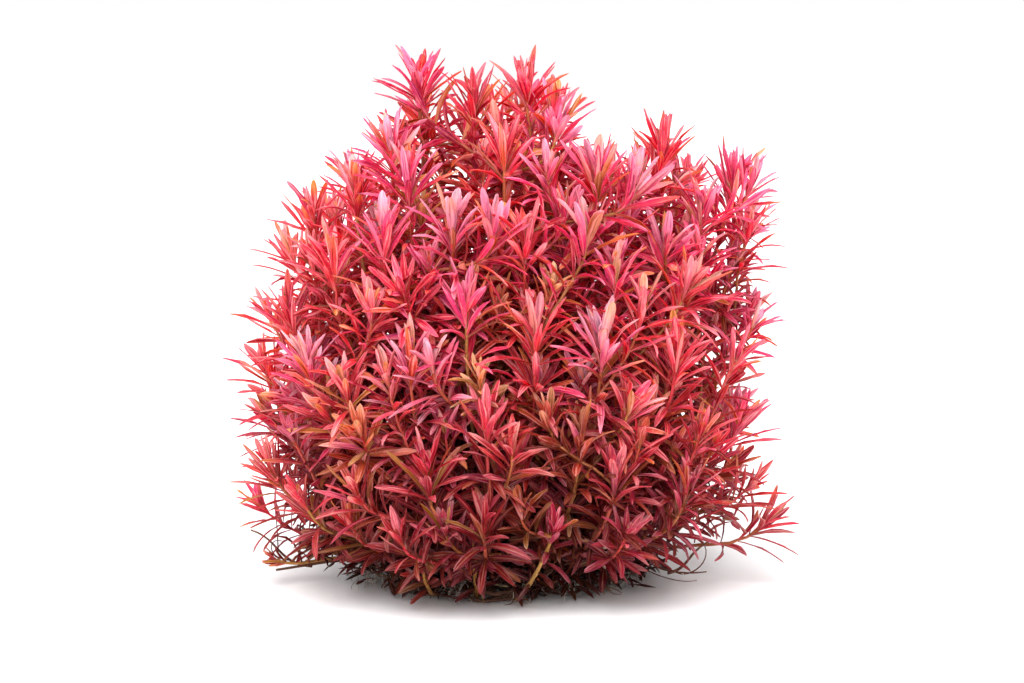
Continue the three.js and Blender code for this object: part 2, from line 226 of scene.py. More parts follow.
# Shoots whose stems come up straight from the floor at the front: the pixels of the foot and of the
# crown, the tone, the size, and the colours of the stem at its foot and below its crown. The crown is some
# way in front of the foot, and the stem leaves the floor flatter and ends steeper than a straight one.
FLOOR_SHOOTS = {
    "front_left": ((436, 597), (423, 570), "coral", 0.7, BROWN, OLIVE),
    "front_middle": ((477, 600), (474, 540), "pink", 0.75, BROWN, OLIVE),
    "front_rooted": ((517, 602), (553, 533), "magenta", 0.75, TAN, OLIVE),
    "front_right": ((602, 593), (606, 524), "crimson", 0.95, BROWN, CREAM),
}
FLOOR_SHOOT_LEAN = 22.0
FLATTER_AT_FOOT, STEEPER_AT_TIP = 8, 16
FOOT_ROOTS, FOOT_ROOT_POINTS = 9, 8
FOOT_ROOT_LENGTHS, FOOT_ROOT_STARTS = (2.5, 7.0), (0, 3)
FOOT_ROOT_HEIGHT, FOOT_ROOT_RADII = 0.3, (0.26, 0.1)

# Main shoots with few leaves, so that their arching stems show: their tone, their size, how far below the
# tip they have leaves and how much they bow down there
LOOSE_SHOOTS = {
    "shoot_front_36": ("pink", 1.15, 18.0, np.array([-1.0, 0.0, -3.5])),
    "shoot_front_38": ("rust", 0.45, 5.0, np.array([0.0, 0.0, 0.0])),
}

# Side shoots that fill the rest of the dome, and two layers of shoots inside it. Fewer of them stand in the
# thin places, which are boxes in pixels.
THIN_PLACES = [(700, 300, 800, 570), (220, 300, 300, 430), (220, 430, 325, 570), (395, 125, 485, 195)]
THIN_CHANCE = 0.4
SIDE_STEM_LENGTH = (26.0, 46.0)
INNER_STEM_LENGTH = (12.0, 32.0)
OUTSIDE = {"kind": "side", "tries": 9000, "lengths": SIDE_STEM_LENGTH, "sizes": (0.85, 1.05)}
INSIDE = {"kind": "inner", "tries": 12000, "lengths": INNER_STEM_LENGTH, "sizes": (0.8, 1.0)}
LAYERS = [
    {**OUTSIDE, "spacing": 11.5, "shares": (0.88, 0.99), "most": 125},
    {**INSIDE, "spacing": 9.0, "shares": (0.38, 0.86), "most": 270},
    {**INSIDE, "spacing": 7.5, "shares": (0.55, 0.85), "most": 60},
]
LOWEST_CROWN = 7.0
# How steeply a side shoot ends, in degrees: from the least at the floor, more high up and at the front
LEAST_LEAN, MORE_HIGH_UP, MORE_IN_FRONT, MOST_LEAN = 36, 50, 34, 88
# Which main stem a shoot may grow out of: how far it may be, and how badly it may suit
FARTHEST_PARENT, WORST_SCORE, TOO_HIGH_SCORE = 60, 40, 60
LOW_SHOOTS_BELOW, LOW_SIZE = 38.0, 0.85
UNDERGROWTH_TRIES = 900
UNDERGROWTH_SPACING = 8.5
UNDERGROWTH_HEIGHTS = (10.0, 24.0)
UNDERGROWTH_REACH = (0.45, 1.0)
UNDERGROWTH_SIZES = (0.6, 0.85)


# Vectors and colours

def unit(v):
    v = np.asarray(v, float)
    return v / np.maximum(norm(v, axis=-1, keepdims=True), 1e-9)


def square(v, direction):
    """The part of a vector that is at right angles to a direction, as a direction itself."""
    return unit(v - direction * (v @ direction))


def linear(colour):
    """A colour as a screen shows it, turned into the light that Blender works in."""
    c = np.asarray(colour, float)
    return np.where(c <= 0.04045, c / 12.92, ((c + 0.055) / 1.055) ** 2.4)


def blend(a, b, share):
    share = np.clip(np.asarray(share, float), 0, 1)[..., None]
    return np.asarray(a) * (1 - share) + np.asarray(b) * share


def flat(angle):
    """The level direction at an angle from +X."""
    return np.array([cos(angle), sin(angle), 0.0])


def dome_level(place):
    """1 on the dome of crowns, 0 at its middle."""
    return ((np.abs(place) / DOME) ** DOME_ROUNDNESS).sum(axis=-1) ** (1 / DOME_ROUNDNESS)


# Camera

def camera_axes():
    """Its place, and the directions that it looks in, to its right and upwards."""
    look = np.array([0.0, cos(CAMERA_LIFT), -sin(CAMERA_LIFT)])
    right = np.array([1.0, 0.0, 0.0])
    x = (PHOTO_WIDE / 2 - ORIGIN_PIXEL[0]) / PIXELS_PER_MM
    z = (ORIGIN_PIXEL[1] - PHOTO_HIGH / 2) / PIXELS_PER_MM / cos(CAMERA_LIFT)
    return np.array([x, 0.0, z]) - look * CAMERA_DISTANCE, look, right, np.cross(right, look)


def add_object(name, data):
    thing = bpy.data.objects.new(name, data)
    bpy.context.scene.collection.objects.link(thing)
    return thing


def make_camera():
    place, look, _, _ = camera_axes()
    data = bpy.data.cameras.new("camera")
    data.sensor_width = SENSOR
    data.lens = SENSOR * PIXELS_PER_MM * CAMERA_DISTANCE / PHOTO_WIDE
    camera = add_object("camera", data)
    camera.location = Vector(place * MM)
    camera.rotation_euler = Vector(look).to_track_quat("-Z", "Y").to_euler()
    bpy.context.scene.camera = camera


def pixel_of(place):
    """Where the photograph would show a place."""
    eye, look, right, above = camera_axes()
    ray = place - eye
    scale = PIXELS_PER_MM * CAMERA_DISTANCE / (ray @ look)
    return PHOTO_WIDE / 2 + ray @ right * scale, PHOTO_HIGH / 2 - ray @ above * scale


def ray_through(pixel):
    eye, look, right, above = camera_axes()
    x = (pixel[0] - PHOTO_WIDE / 2) / PIXELS_PER_MM / CAMERA_DISTANCE
    z = (PHOTO_HIGH / 2 - pixel[1]) / PIXELS_PER_MM / CAMERA_DISTANCE
    return eye, look + right * x + above * z


def place_on_dome(pixel):
    """The place of the dome of crowns behind a pixel, or the one nearest to the dome."""
    eye, ray = ray_through(pixel)
    ways = np.linspace(CAMERA_DISTANCE - SEARCH_BEFORE, CAMERA_DISTANCE + SEARCH_BEHIND, SEARCH_STEPS)
    places = eye + ways[:, None] * ray
    levels = dome_level(places)
    inside = np.flatnonzero(levels <= 1)
    return places[inside[0] if len(inside) else levels.argmin()]


def is_within(pixel, outline):
    """Whether a pixel lies inside a closed outline."""
    x, y = pixel
    inside = False
    for (x0, y0), (x1, y1) in zip(outline, outline[1:] + outline[:1]):
        if (y0 > y) != (y1 > y) and x < x0 + (y - y0) * (x1 - x0) / (y1 - y0):
            inside = not inside
    return inside


def is_thin(pixel):
    return any(x0 < pixel[0] < x1 and y0 < pixel[1] < y1 for x0, y0, x1, y1 in THIN_PLACES)


def place_on_floor(pixel):
    eye, ray = ray_through(pixel)
    return eye - ray * (eye[2] / ray[2])


def place_at_depth(pixel, depth):
    eye, ray = ray_through(pixel)
    return eye + ray * ((depth - eye[1]) / ray[1])


# Stems: a line of points from the foot to the tip

class Stem:
    def __init__(self, points):
        self.points = np.asarray(points, float)
        steps = norm(np.diff(self.points, axis=0), axis=1)
        self.along = np.concatenate([[0.0], np.cumsum(steps)])
        self.length = self.along[-1]

    def at(self, along):
        return np.array([np.interp(along, self.along, self.points[:, k]) for k in range(3)])

    def apart(self, place):
        """How far each of its points is from a place."""
        return norm(self.points - place, axis=1)

    def forward(self, along):
        return unit(self.at(min(along + 1.0, self.length)) - self.at(max(along - 1.0, 0.0)))


def curve_points(start, leave, arrive, end, count=16):
    """A smooth bend from start to end that leaves and arrives in the given directions."""
    t = np.linspace(0, 1, count)[:, None]
    reach = CURVE_REACH * norm(end - start)
    a, b = start + leave * reach, end - arrive * reach
    return (1 - t) ** 3 * start + 3 * (1 - t) ** 2 * t * a + 3 * (1 - t) * t ** 2 * b + t ** 3 * end


def fitted_line(shares, places, degree, count, weights=None):
    """A smooth line near some places by least squares. Each one is at its share of the way along."""
    fits = [np.polyfit(shares, places[:, k], degree, w=weights) for k in range(3)]
    return np.stack([np.polyval(fit, np.linspace(0, 1, count)) for fit in fits], 1)


def sides_of(forward):
    """Two directions at right angles to a stem."""
    reference = UP if abs(forward[2]) < NEARLY_UPRIGHT else [0.0, 1.0, 0.0]
    side = unit(np.cross(forward, reference))
    return side, np.cross(side, forward)


# What the solids say: each one's leaves and the line of its stem

def welded(node):
    """The corners of a solid, each one once, and its faces."""
    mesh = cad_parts[node].data
    places = np.array([v.co for v in mesh.vertices]) / MM
    corners, index = np.unique(places.round(3), axis=0, return_inverse=True)
    mesh.calc_loop_triangles()
    return corners, index.ravel()[np.array([t.vertices for t in mesh.loop_triangles])]


def solid_leaves(corners, faces):
    """Each leaf of a solid shoot as its root, its widest points and its tip; the bud; and the rest."""
    near = [set() for _ in corners]
    for face in faces:
        for corner in face:
            near[corner] |= set(face) - {corner}
    leaves, bud, drawn_out = [], None, set()
    for index, others in enumerate(near):
        if len(others) != 3:
            continue
        others = sorted(others, key=lambda k: norm(corners[k] - corners[index]))
        sizes = [norm(corners[k] - corners[index]) for k in others]
        if sizes[2] < BUD_EVENNESS * sizes[0]:
            bud = index
            continue
        left, right, root = others
        leaves.append((corners[root], corners[left], corners[right], corners[index]))
        drawn_out |= {index, left, right}
    rings = np.array([c for k, c in enumerate(corners) if k not in drawn_out and k != bud])
    return leaves, corners[bud], rings


def solid_stem(rings, bud):
    """The line through the rings of a solid stem, from the ring that is lowest and nearest to the middle."""
    foot = rings[np.argsort(rings @ UP + 0.2 * np.hypot(*rings[:, :2].T))[:3]].mean(axis=0)
    far = norm(bud - foot)
    share = np.append(norm(rings - foot, axis=1) / far, [0.0, 1.0])
    weights = np.append(np.ones(len(rings)), [FOOT_WEIGHT, BUD_WEIGHT])
    return Stem(fitted_line(share, np.vstack([rings, foot, bud]), 3, STEM_POINTS, weights))


def read_solids():
    shoots = {}
    for name in sorted(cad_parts):
        if name == "root_mat":
            continue
        corners, faces = welded(name)
        leaves, bud, rings = solid_leaves(corners, faces)
        shoots[name] = {"leaves": leaves, "stem": solid_stem(rings, bud)}
    return shoots


# Leaves

class Foliage:
    """The leaves of one piece, those with the fine form and those with the plain form. A shoot is given to
    the functions that add them as a dictionary of its stem, tone and size."""

    def __init__(self, rng):
        self.rng = rng
        self.fine, self.plain = [], []

    def add(self, is_plain, **leaf):
        (self.plain if is_plain else self.fine).append(leaf)


def leaf_colours(tone, age, rng):
    """The colours of a leaf at its root, over its blade and at its tip. Age 0 is the youngest."""
    young, grown, old = (np.array(c) for c in TONES[tone])
    if rng.random() < 0.25:
        _, grown, old = (np.array(c) for c in TONES[rng.choice(["orange", "lilac", "magenta", "gold"])])
    blade = blend(young, grown, 0.30 + age / 0.15 + rng.uniform(-0.4, 0.8) * min(1.0, 0.3 + age / 0.06))
    blade = blend(blade, CREAM, rng.uniform(-0.4, 0.7) * max(0.0, 1 - age / 0.06))
    blade = blend(blade, old, (age - 0.08) / 0.45 + rng.normal(0, 0.2))
    blade = blend(blade, BROWN, (age - 0.7) * rng.uniform(0.4, 1.8))
    blade = np.clip(blade * rng.uniform(0.86, 1.06) + rng.normal(0, 0.015, 3), 0.01, 1)
    tip = blend(blade, GOLD if rng.random() < 0.2 else young, rng.uniform(0.1, 1.0) * (1 - age))
    root = blend(blade, CREAM if rng.random() < 0.2 else OLIVE, rng.uniform(0.1, 0.8) * (1 - 0.4 * age))
    return root, blade, tip


def above_floor(base, direction, upper, reach, curl):
    """Lifts a leaf that would go through the floor, so that it lies on it."""
    if min(base[2], (base + direction * reach)[2]) - 0.35 * reach * max(curl, 0.0) > FLOOR_GAP + 0.8:
        return direction, upper, curl
    rise = (FLOOR_GAP + LYING_HEIGHT - base[2]) / reach
    direction = unit(unit(direction * [1, 1, 0] + 1e-6) + UP * rise)
    return direction, square(UP, direction), min(curl, LYING_CURL)


def add_leaf(foliage, base, forward, upper, length, width, curl, tone, age, is_plain):
    rng = foliage.rng
    forward, upper, curl = above_floor(base, forward, upper, length, curl)
    place = base + forward * length * 0.5
    depth = float(np.clip(0.9 - dome_level(place), 0, 0.5))
    low = float(np.clip(1 - place[2] / LOW_HEIGHT, 0, 1))
    colours = leaf_colours(tone, min(1.0, age + 0.4 * depth + 0.20 * low), rng)
    beside = min(1.0, abs(place[0]) / DOME[0])
    # Painted shade: darker deeper inside the bush and low down, less so at its sides and on young leaves
    painted_shade = 1 - PAINTED_SHADE_INSIDE * depth
    painted_shade *= 1 - PAINTED_SHADE_LOW * low * (1 - 0.6 * beside ** 2) * min(1.0, 0.3 + age / 0.2)
    warmth = np.array([1.0, 1.0 + 0.06 * low, 1.0 - 0.20 * low])
    root, blade, tip = (colour * painted_shade * warmth for colour in colours)
    width *= 1 - NARROWER_BESIDE * beside ** 2
    foliage.add(
        is_plain, base=base, forward=forward, upper=upper, length=length, width=width, curl=curl,
        fold=rng.uniform(0.02, 0.40), twist=rng.normal(0, 0.25), blunt=rng.random(), seed=rng.random(),
        root_colour=root, colour=blade, tip_colour=tip,
    )


def towards_light(direction, upper):
    """Turns a leaf that hangs down up again, as leaves do towards the light."""
    direction = unit(direction + UP * max(0.0, LEAST_RISE - direction[2]))
    return direction, square(upper, direction)


def add_whorl(foliage, shoot, along, turn, whorl, age, is_plain=False, width=1.0):
    """Leaves round a stem. An old whorl has lost some."""
    rng, stem, size = foliage.rng, shoot["stem"], shoot["size"]
    _, length, opening, count = whorl
    centre, forward = stem.at(along), stem.forward(along)
    side, across = sides_of(forward)
    for index in range(count):
        if rng.random() < 0.8 * max(0.0, age - 0.6):
            continue
        angle = turn + index * 2 * pi / count + rng.normal(0, 0.3)
        open_by = radians(opening + rng.normal(0, 8) + 12 * max(0.0, age - 0.6))
        outward = cos(angle) * side + sin(angle) * across
        direction = unit(forward * cos(open_by) + outward * sin(open_by))
        upper = unit(forward * sin(open_by) - outward * cos(open_by))
        reach = length * size * rng.uniform(0.78, 1.12)
        curl = rng.normal(0.12, 0.3) + 2.6 * min(age, 0.3)
        base = centre + outward * STEM_RADIUS * 0.5
        direction, upper = towards_light(direction, upper)
        wide = LEAF_WIDTH * width * (0.35 + 0.65 * size) * rng.uniform(0.8, 1.12)
        wide *= 1.25 - 0.7 * min(age, 0.6)
        add_leaf(foliage, base, direction, upper, reach, wide, curl, shoot["tone"], age, is_plain)


def whorls_for(stem, size, whorls):
    """The given whorls, fuller for a big crown and airier for one at the very top or in a thin place."""
    pixel = pixel_of(stem.points[-1])
    if pixel[1] < AIRY_ABOVE or is_thin(pixel):
        return [(below, length, opening, count - 1) for below, length, opening, count in whorls]
    if size >= BIG_CROWN:
        return [(below, length, opening, max(4, count)) for below, length, opening, count in whorls]
    return whorls


def add_young_leaves(foliage, shoot):
    """The short leaves that stand closed in the middle of a crown."""
    smaller = {**shoot, "size": shoot["size"] * YOUNG_SIZE}
    for index in range(YOUNG_LEAVES):
        whorl = (0.0, 6.0 + 1.3 * index, 4 + 6 * index, 1)
        add_whorl(foliage, smaller, shoot["stem"].length, index * GOLDEN_TURN, whorl, 0.02 * index)


def add_solid_leaf(foliage, shoot, leaf):
    """A fine leaf in the place of a leaf of the solid."""
    rng, stem = foliage.rng, shoot["stem"]
    root, left, right, tip = leaf
    near = stem.apart(root).argmin()
    centre, forward = stem.points[near], stem.forward(stem.along[near])
    base = centre + 0.4 * (root - centre) + forward * 0.8
    middle = (left + right) / 2
    start, end = unit(middle - base), unit(tip - middle)
    side = unit(right - left)
    upper = unit(np.cross(side, start))
    upper = upper if upper @ forward > 0 else -upper
    length = norm(middle - base) + norm(tip - middle)
    bend = asin(float(np.clip(-(end @ upper), -0.9, 0.9)))
    age = float(np.clip((stem.length - stem.along[near] - 3) / OLD_FROM_TIP, 0.03, 1))
    length *= shoot["size"] * rng.uniform(0.95, 1.04)
    curl = bend * 1.2 + rng.normal(0.0, 0.14)
    width = LEAF_WIDTH * rng.uniform(0.9, 1.15)
    add_leaf(foliage, base, start, upper, length, width, curl, shoot["tone"], age, False)


def grow_whorls(foliage, shoot, whorls, is_plain=False, bare=3.0, older=0.0, width=1.0):
    """The given whorls, as far down as the stem goes."""
    length = shoot["stem"].length
    turn = foliage.rng.uniform(0, 2 * pi)
    for index, whorl in enumerate(whorls):
        below = whorl[0] * (0.5 + 0.5 * shoot["size"])
        if below > length - bare:
            break
        age = min(1.0, older + below / OLD_FROM_TIP)
        add_whorl(foliage, shoot, length - below, turn + index * pi / 3, whorl, age,
                  is_plain or age > PLAIN_FROM_AGE, width)


# Meshes

def blade_batch(leaves, form):
    """All the blades of one form: their corners, colours, and how far along and across each corner is."""
    def column(name):
        return np.array([leaf[name] for leaf in leaves], float)
    stations = form["stations"]
    widths = form["pointed"] + column("blunt")[:, None] * (form["blunt"] - form["pointed"])
    forward, upper = column("forward"), column("upper")
    length, seed = column("length"), column("seed")
    turned = column("curl")[:, None] * stations ** 1.25
    lean = np.cos(turned)[..., None] * forward[:, None] - np.sin(turned)[..., None] * upper[:, None]
    rise = np.cos(turned)[..., None] * upper[:, None] + np.sin(turned)[..., None] * forward[:, None]
    steps = np.diff(stations, prepend=0.0) * length[:, None]
    line = column("base")[:, None] + np.cumsum(lean * steps[..., None], axis=1)
    side = np.cross(lean, rise)
    roll = (column("twist")[:, None] * stations)[..., None]
    side, rise = side * np.cos(roll) + rise * np.sin(roll), rise * np.cos(roll) - side * np.sin(roll)
    half = 0.5 * column("width")[:, None] * widths
    across = RING * half[..., None]
    waves = np.sin(2 * pi * (WAVES * stations + seed[:, None]))[..., None] * np.abs(RING) * RING
    lift = column("fold")[:, None, None] * np.abs(across) + WAVE_HEIGHT * waves * widths[..., None]
    thick = LEAF_THICKNESS * (0.5 + 0.5 * widths[..., None])
    lift = lift - BELOW * thick + (1 - np.abs(RING)) * (1 - BELOW) * 0.1 * thick
    corners = line[:, :, None] + across[..., None] * side[:, :, None] + lift[..., None] * rise[:, :, None]
    corners[..., 2] = np.maximum(corners[..., 2], FLOOR_GAP)
    line[..., 2] = np.maximum(line[..., 2], FLOOR_GAP)
    share = np.broadcast_to(stations[None, :, None], across.shape)
    root, blade, tip = (column(name)[:, None, None] for name in ("root_colour", "colour", "tip_colour"))
    colours = blend(blade, root, np.clip(1 - share / ROOT_COLOUR_END, 0, 1) ** 1.2)
    colours = blend(colours, tip, (share - TIP_COLOUR_START) / TIP_COLOUR_RANGE)
    colours = blend(colours, CREAM, np.broadcast_to(PALER_BELOW * BELOW, share.shape))
    body = len(stations) - 1
    count = len(leaves)
    return {
        "places": np.concatenate([corners[:, :body].reshape(count, -1, 3), line[:, -1:]], axis=1),
        "colours": np.concatenate([colours[:, :body].reshape(count, -1, 3), colours[:, -1, :1]], axis=1),
        "along": np.tile(np.append(np.repeat(stations[:body], len(RING)), 1.0), (count, 1)),
        "across": np.tile(np.append(np.tile(RING, body), 0.0), (count, 1)),
        "seed": np.tile(seed[:, None], (1, body * len(RING) + 1)),
    }


# The share of a part's map that each end of it takes, and how far in the middle of that end lies
MAP_END, MAP_END_MIDDLE = 0.04, 0.03


def skin_faces(levels, sides, open_end):
    """The faces of a closed skin of rings, with each corner's place on its own map. A fan closes the
    first ring. The last one has a fan, or comes together in one point."""
    rings, last = len(levels), (len(levels) - 1) * sides
    heights = MAP_END + (1 - 2 * MAP_END) * np.asarray(levels)
    quads, quad_map = [], []
    for ring in range(rings - 1):
        low, high = ring * sides, (ring + 1) * sides
        v, w = heights[ring], heights[ring + 1]
        for k in range(sides):
            after = (k + 1) % sides
            quads.append((low + k, low + after, high + after, high + k))
            quad_map.append(((k, v), (k + 1, v), (k + 1, w), (k, w)))
    fan = range(1, sides - 1)
    tris = [(0, k + 1, k) for k in fan]
    tri_map = [((k - 0.5, MAP_END_MIDDLE), (k, 0.0), (k - 1, 0.0)) for k in fan]
    if open_end:
        tris += [(last, last + k, last + k + 1) for k in fan]
        tri_map += [((k - 0.5, 1 - MAP_END_MIDDLE), (k - 1, 1.0), (k, 1.0)) for k in fan]
    else:
        tris += [(last + k, last + (k + 1) % sides, rings * sides) for k in range(sides)]
        tri_map += [((k, heights[-1]), (k + 1, heights[-1]), (k + 0.5, 1.0)) for k in range(sides)]
    return np.array(quads), np.array(quad_map) / [sides, 1], np.array(tris), np.array(tri_map) / [sides, 1]


def tube_corners(points, radii, sides):
    """The rings of a tube along a line, turned as little as possible from one to the next."""
    forward = unit(np.gradient(points, axis=0))
    side, _ = sides_of(forward[0])
    angles = np.arange(sides) * 2 * pi / sides
    rings = []
    for place, direction, radius in zip(points, forward, radii):
        side = square(side, direction)
        across = np.cross(direction, side)
        rings.append(place + radius * (np.outer(np.cos(angles), side) + np.outer(np.sin(angles), across)))
    return np.concatenate(rings)


def write_attribute(mesh, name, kind, field, values):
    attribute = mesh.attributes.new(name, kind, "POINT")
    attribute.data.foreach_set(field, np.asarray(values, np.float32).ravel())


# The margin of each cell of a piece's map, how many times more cells are in its rows than in its columns,
# and the angle from which an edge is sharp
CELL_MARGIN = 0.06
ROWS_LONGER = 2.4
SHARP_FROM = radians(70)


class Builder:
    """Gathers the parts of one piece, each on its own cell of the piece's map."""

    def __init__(self):
        self.corners = {name: [] for name in ("places", "colours", "along", "across", "seed")}
        self.quads, self.tris = [], []
        self.count = 0
        self.cells = 0

    def add(self, batch, faces, slot):
        parts, size = batch["places"].shape[:2]
        quads, quad_map, tris, tri_map = faces
        starts = self.count + np.arange(parts)[:, None, None] * size
        cells = self.cells + np.arange(parts)
        for name, values in self.corners.items():
            values.append(batch[name].reshape(parts * size, -1))
        for kind, own, own_map in ((self.quads, quads, quad_map), (self.tris, tris, tri_map)):
            kind.append({
                "faces": (own[None] + starts).reshape(-1, own.shape[1]),
                "map": np.tile(own_map[None], (parts, 1, 1, 1)).reshape(-1, own.shape[1], 2),
                "cells": np.repeat(cells, len(own)),
                "slots": np.full(parts * len(own), slot),
            })
        self.count += parts * size
        self.cells += parts

    def add_foliage(self, foliage, slot):
        for leaves, form in ((foliage.fine, FINE), (foliage.plain, PLAIN)):
            if leaves:
                faces = skin_faces(form["stations"][:-1], len(RING), False)
                self.add(blade_batch(leaves, form), faces, slot)

    def add_tube(self, points, radii, sides, colours, seed, slot):
        """A tube along a line, in one colour or with one for each point."""
        colours = np.broadcast_to(colours, points.shape)
        levels = np.linspace(0, 1, len(points))
        size = len(points) * sides
        self.add({
            "places": tube_corners(points, radii, sides)[None],
            "colours": np.repeat(colours, sides, axis=0)[None],
            "along": np.repeat(levels, sides)[None],
            "across": np.tile(np.linspace(-1, 1, sides), len(points))[None],
            "seed": np.full((1, size), seed),
        }, skin_faces(levels, sides, True), slot)

    def add_root(self, line, least_height, radius, taper, sides, colour, rng, slot):
        """A tapered tube that stays above the floor."""
        line[:, 2] = np.maximum(line[:, 2], least_height)
        self.add_tube(line, radius * np.linspace(*taper, len(line)), sides, colour, rng.random(), slot)

    def on_map(self, kind):
        """Face corners on the piece's map, where each part has its own cell."""
        wide = max(1, ceil(sqrt(self.cells * ROWS_LONGER)))
        high = ceil(self.cells / wide)
        at = np.concatenate([part["map"] for part in kind])
        cell = np.concatenate([part["cells"] for part in kind])[:, None]
        at = CELL_MARGIN + (1 - 2 * CELL_MARGIN) * at
        u = (cell % wide + at[..., 0]) / wide
        v = (cell // wide + at[..., 1]) / high
        return np.stack([u, v], -1).reshape(-1, 2)

    def make(self, name, materials):
        mesh = bpy.data.meshes.new(name)
        corners = {key: np.concatenate(values) for key, values in self.corners.items()}
        quads = np.concatenate([part["faces"] for part in self.quads])
        tris = np.concatenate([part["faces"] for part in self.tris])
        slots = np.concatenate([part["slots"] for part in self.quads + self.tris])
        starts = np.concatenate([np.arange(len(quads)) * 4, len(quads) * 4 + np.arange(len(tris)) * 3])
        mesh.vertices.add(self.count)
        mesh.vertices.foreach_set("co", (corners["places"] * MM).astype(np.float32).ravel())
        mesh.loops.add(quads.size + tris.size)
        mesh.loops.foreach_set("vertex_index", np.append(quads, tris).astype(np.int32))
        mesh.polygons.add(len(starts))
        mesh.polygons.foreach_set("loop_start", starts.astype(np.int32))
        mesh.polygons.foreach_set("material_index", slots.astype(np.int32))
        mesh.update(calc_edges=True)
        places = np.concatenate([self.on_map(self.quads), self.on_map(self.tris)])
        mesh.uv_layers.new(name="OFBake").uv.foreach_set("vector", places.astype(np.float32).ravel())
        tint = np.column_stack([linear(corners["colours"]), np.ones(self.count)])
        write_attribute(mesh, "tint", "FLOAT_COLOR", "color", tint)
        for key in ("along", "across", "seed"):
            write_attribute(mesh, key, "FLOAT", "value", corners[key])
        mesh.shade_smooth()
        mesh.set_sharp_from_angle(angle=SHARP_FROM)
        for material in materials:
            mesh.materials.append(material)
        return add_object(name, mesh)


def add_stem(builder, stem, rng, thick=1.0, foot_colour=BROWN, top_colour=None):
    """A stem with a slight knot every few steps: red below the crown, and brown towards its foot."""
    count = max(5, int(stem.length / STEM_STEP))
    along = np.linspace(0, stem.length, count)
    points = np.array([stem.at(a) for a in along])
    points[1:-1] += rng.normal(0, STEM_UNEVENNESS, (count - 2, 3))
    below = stem.length - along
    knots = 1 + KNOT_SIZE * (np.arange(count) % STEPS_TO_KNOT == 0)
    gained = GAINED_THICKNESS * np.clip(below / FULL_THICKNESS_BELOW, 0, 1)
    radii = STEM_RADIUS * thick * (TIP_THICKNESS + gained) * knots
    points[:, 2] = np.maximum(points[:, 2], FLOOR_GAP + radii)
    if top_colour is None:
        top_colour = blend(TONES["crimson"][1], OLIVE, rng.uniform(0.2, 1.0))
    colours = blend(top_colour, foot_colour, np.clip(below / BROWN_BELOW, 0, MOST_BROWN))
    builder.add_tube(points, radii, STEM_SIDES, colours, rng.random(), STEM_SLOT)


# Materials

class Look:
    """A material or a world, and short ways to add nodes to it."""

    def __init__(self, owner, shader="Principled BSDF"):
        owner.use_nodes = True
        self.owner = owner
        self.nodes, self.links = owner.node_tree.nodes, owner.node_tree.links
        self.shader = self.nodes[shader]

    def put(self, value, socket):
        if isinstance(value, bpy.types.NodeSocket):
            self.links.new(value, socket)
        else:
            socket.default_value = value

    def node(self, kind, output, values, **settings):
        """Adds a node, gives its sockets their values and returns one of its outputs."""
        node = self.nodes.new("ShaderNode" + kind)
        for name, setting in settings.items():
            setattr(node, name, setting)
        for socket, value in values.items():
            self.put(value, node.inputs[socket])
        return node.outputs[output]

    def shade(self, values):
        for socket, value in values.items():
            self.put(value, self.shader.inputs[socket])

    def attribute(self, name, output="Fac"):
        return self.node("Attribute", output, {}, attribute_name=name)

    def math(self, operation, first, second=0.0):
        return self.node("Math", 0, {0: first, 1: second, 2: 0.0}, operation=operation)

    def remap(self, value, low, high, to_low=0.0, to_high=1.0):
        return self.node("MapRange", "Result", {0: value, 1: low, 2: high, 3: to_low, 4: to_high})

    def mix(self, share, first, second):
        return self.node("Mix", 2, {0: share, 6: first, 7: second}, data_type="RGBA")

    def shift(self, colour, saturation, value):
        values = {"Saturation": saturation, "Value": value, "Color": colour}
        return self.node("HueSaturation", "Color", values)

    def on_part(self, across, along, seed):
        """A place across and along each leaf or tube, stretched by these numbers and different in each."""
        stretches = {"across": across, "along": along, "seed": seed}
        parts = [self.math("MULTIPLY", self.attribute(name), by) for name, by in stretches.items()]
        return self.node("CombineXYZ", 0, dict(enumerate(parts)))

    def noise(self, place, scale, detail, roughness):
        return self.node("TexNoise", "Fac", {
            "Vector": place, "Scale": scale, "Detail": detail, "Roughness": roughness})

    def object_place(self):
        return self.node("TexCoord", "Object", {})

    def bump(self, height, strength, distance):
        bump = {"Strength": strength, "Distance": distance, "Height": height}
        self.shade({"Normal": self.node("Bump", "Normal", bump)})


def solid_colour(colour):
    return (*linear(colour), 1.0)


# The share of a leaf's light that comes through it
LIGHT_THROUGH = 0.42


